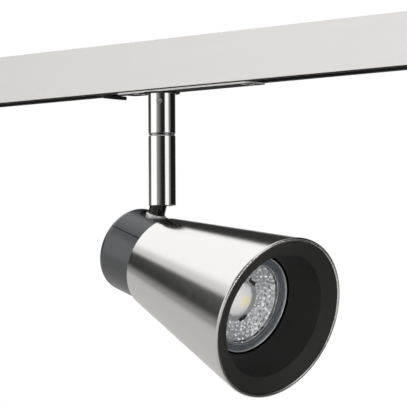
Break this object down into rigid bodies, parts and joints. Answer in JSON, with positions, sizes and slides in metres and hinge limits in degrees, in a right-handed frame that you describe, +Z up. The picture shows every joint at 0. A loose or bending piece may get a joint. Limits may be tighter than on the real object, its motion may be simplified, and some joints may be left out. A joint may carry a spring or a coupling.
{
  "type": "track spotlight",
  "caption": "Track spotlight: a length of slotted track, a sliding adapter with a lock lever, a swivelling stem and a tilting conical head with a recessed reflector lamp.",
  "frame": {"origin": "centre of the track's upper face, which lies against the ceiling", "axes": "+X along the track, with the head aimed towards +X at rest; +Z up, out of the ceiling face; +Y to the left of the head's aim"},
  "size_m": [0.333, 0.0822, 0.18],
  "materials": {
    "brushed_track": "fine brushing along the length",
    "black_plastic": "satin moulded black",
    "grey_plastic": "satin moulded dark grey",
    "baffle_black": "matt black",
    "copper": "bare rolled copper",
    "brass": "bare turned brass",
    "black_metal": "black satin",
    "polished_chrome": "polished",
    "brushed_shade": "satin spun, bright rim",
    "zinc_steel": "zinc plated",
    "spring_steel": "bright drawn",
    "white_nylon": "natural nylon",
    "porcelain": "glazed",
    "cable_sheath": "black sheath",
    "glass_sleeve": "woven glass sleeve",
    "earth_sleeve": "green and yellow",
    "lamp_white": "white moulded",
    "lamp_metal": "die cast, satin",
    "lamp_clear": "clear, prismatic",
    "lamp_mirror": "hammered bright",
    "lamp_diffuser": "milky dome",
    "phosphor": "yellow phosphor",
    "circuit_board": "white solder mask"
  },
  "bodies": {
    "track": {"track_profile": "brushed_track", "insulator_front": "black_plastic", "insulator_rear": "black_plastic", "conductor_live": "copper", "conductor_neutral": "copper", "end_cap_left": "black_plastic", "end_cap_right": "black_plastic"},
    "adapter": {"adapter_shell_front": "black_plastic", "adapter_shell_rear": "black_plastic", "adapter_screws": "zinc_steel", "flange_plate": "black_metal", "flange_screws": "zinc_steel", "far_clip": "spring_steel", "earth_spring": "brass", "adapter_cable": "cable_sheath", "stem_socket": "black_metal", "stem_upper": "polished_chrome", "set_screw": "polished_chrome", "swivel_core": "brass", "seam_washer": "black_plastic", "core_clip": "spring_steel"},
    "lock": {"lock_lever": "black_plastic", "lock_rotor": "black_plastic", "locking_dog": "zinc_steel", "contact_live": "copper", "contact_neutral": "copper"},
    "swivel": {"swivel_bush": "brass", "thrust_washer": "zinc_steel", "stem_lower": "polished_chrome", "spring_retainer": "spring_steel", "friction_spring": "spring_steel", "friction_cup": "white_nylon", "stem_cable": "cable_sheath"},
    "head": {"ball_neck": "polished_chrome", "neck_plate": "zinc_steel", "neck_nut": "brass", "head_cable": "cable_sheath", "terminal_block": "porcelain", "terminal_screws": "brass", "holder_leads": "glass_sleeve", "earth_lead": "earth_sleeve", "top_cover": "grey_plastic", "rear_housing": "grey_plastic", "cover_screws": "zinc_steel", "shade": "brushed_shade", "baffle": "baffle_black", "holder_bracket": "zinc_steel", "bracket_screws": "zinc_steel", "lampholder": "porcelain", "holder_screws": "zinc_steel", "lampholder_contacts": "brass"},
    "lamp": {"lamp_pins": "zinc_steel", "lamp_base": "lamp_white", "lamp_body": "lamp_metal", "lamp_lens": "lamp_clear", "lamp_reflector": "lamp_mirror", "led_board": "circuit_board", "led_chip": "phosphor", "led_dome": "lamp_diffuser", "lamp_driver": "circuit_board"}
  },
  "joints": [
    {"name": "track_slide", "type": "slide", "parent": "track", "child": "adapter", "axis": [1, 0, 0], "range_m": [-0.09, 0.104]},
    {"name": "lock_turn", "type": "hinge", "parent": "adapter", "child": "lock", "pos_m": [-0.0555, 0, -0.025], "axis": [0, 0, 1], "range_deg": [-90, 0]},
    {"name": "pan", "type": "hinge", "parent": "adapter", "child": "swivel", "pos_m": [-0.018, 0, -0.048], "axis": [0, 0, 1], "range_deg": [-165, 165]},
    {"name": "tilt", "type": "hinge", "parent": "swivel", "child": "head", "pos_m": [-0.018, 0, -0.075], "axis": [0, 1, 0], "range_deg": [-23.9, 71.1]},
    {"name": "lamp_twist", "type": "hinge", "parent": "head", "child": "lamp", "pos_m": [-0.01831, 0, -0.11295], "axis": [0.9461, 0, -0.3239], "range_deg": [0, 25]}
  ]
}
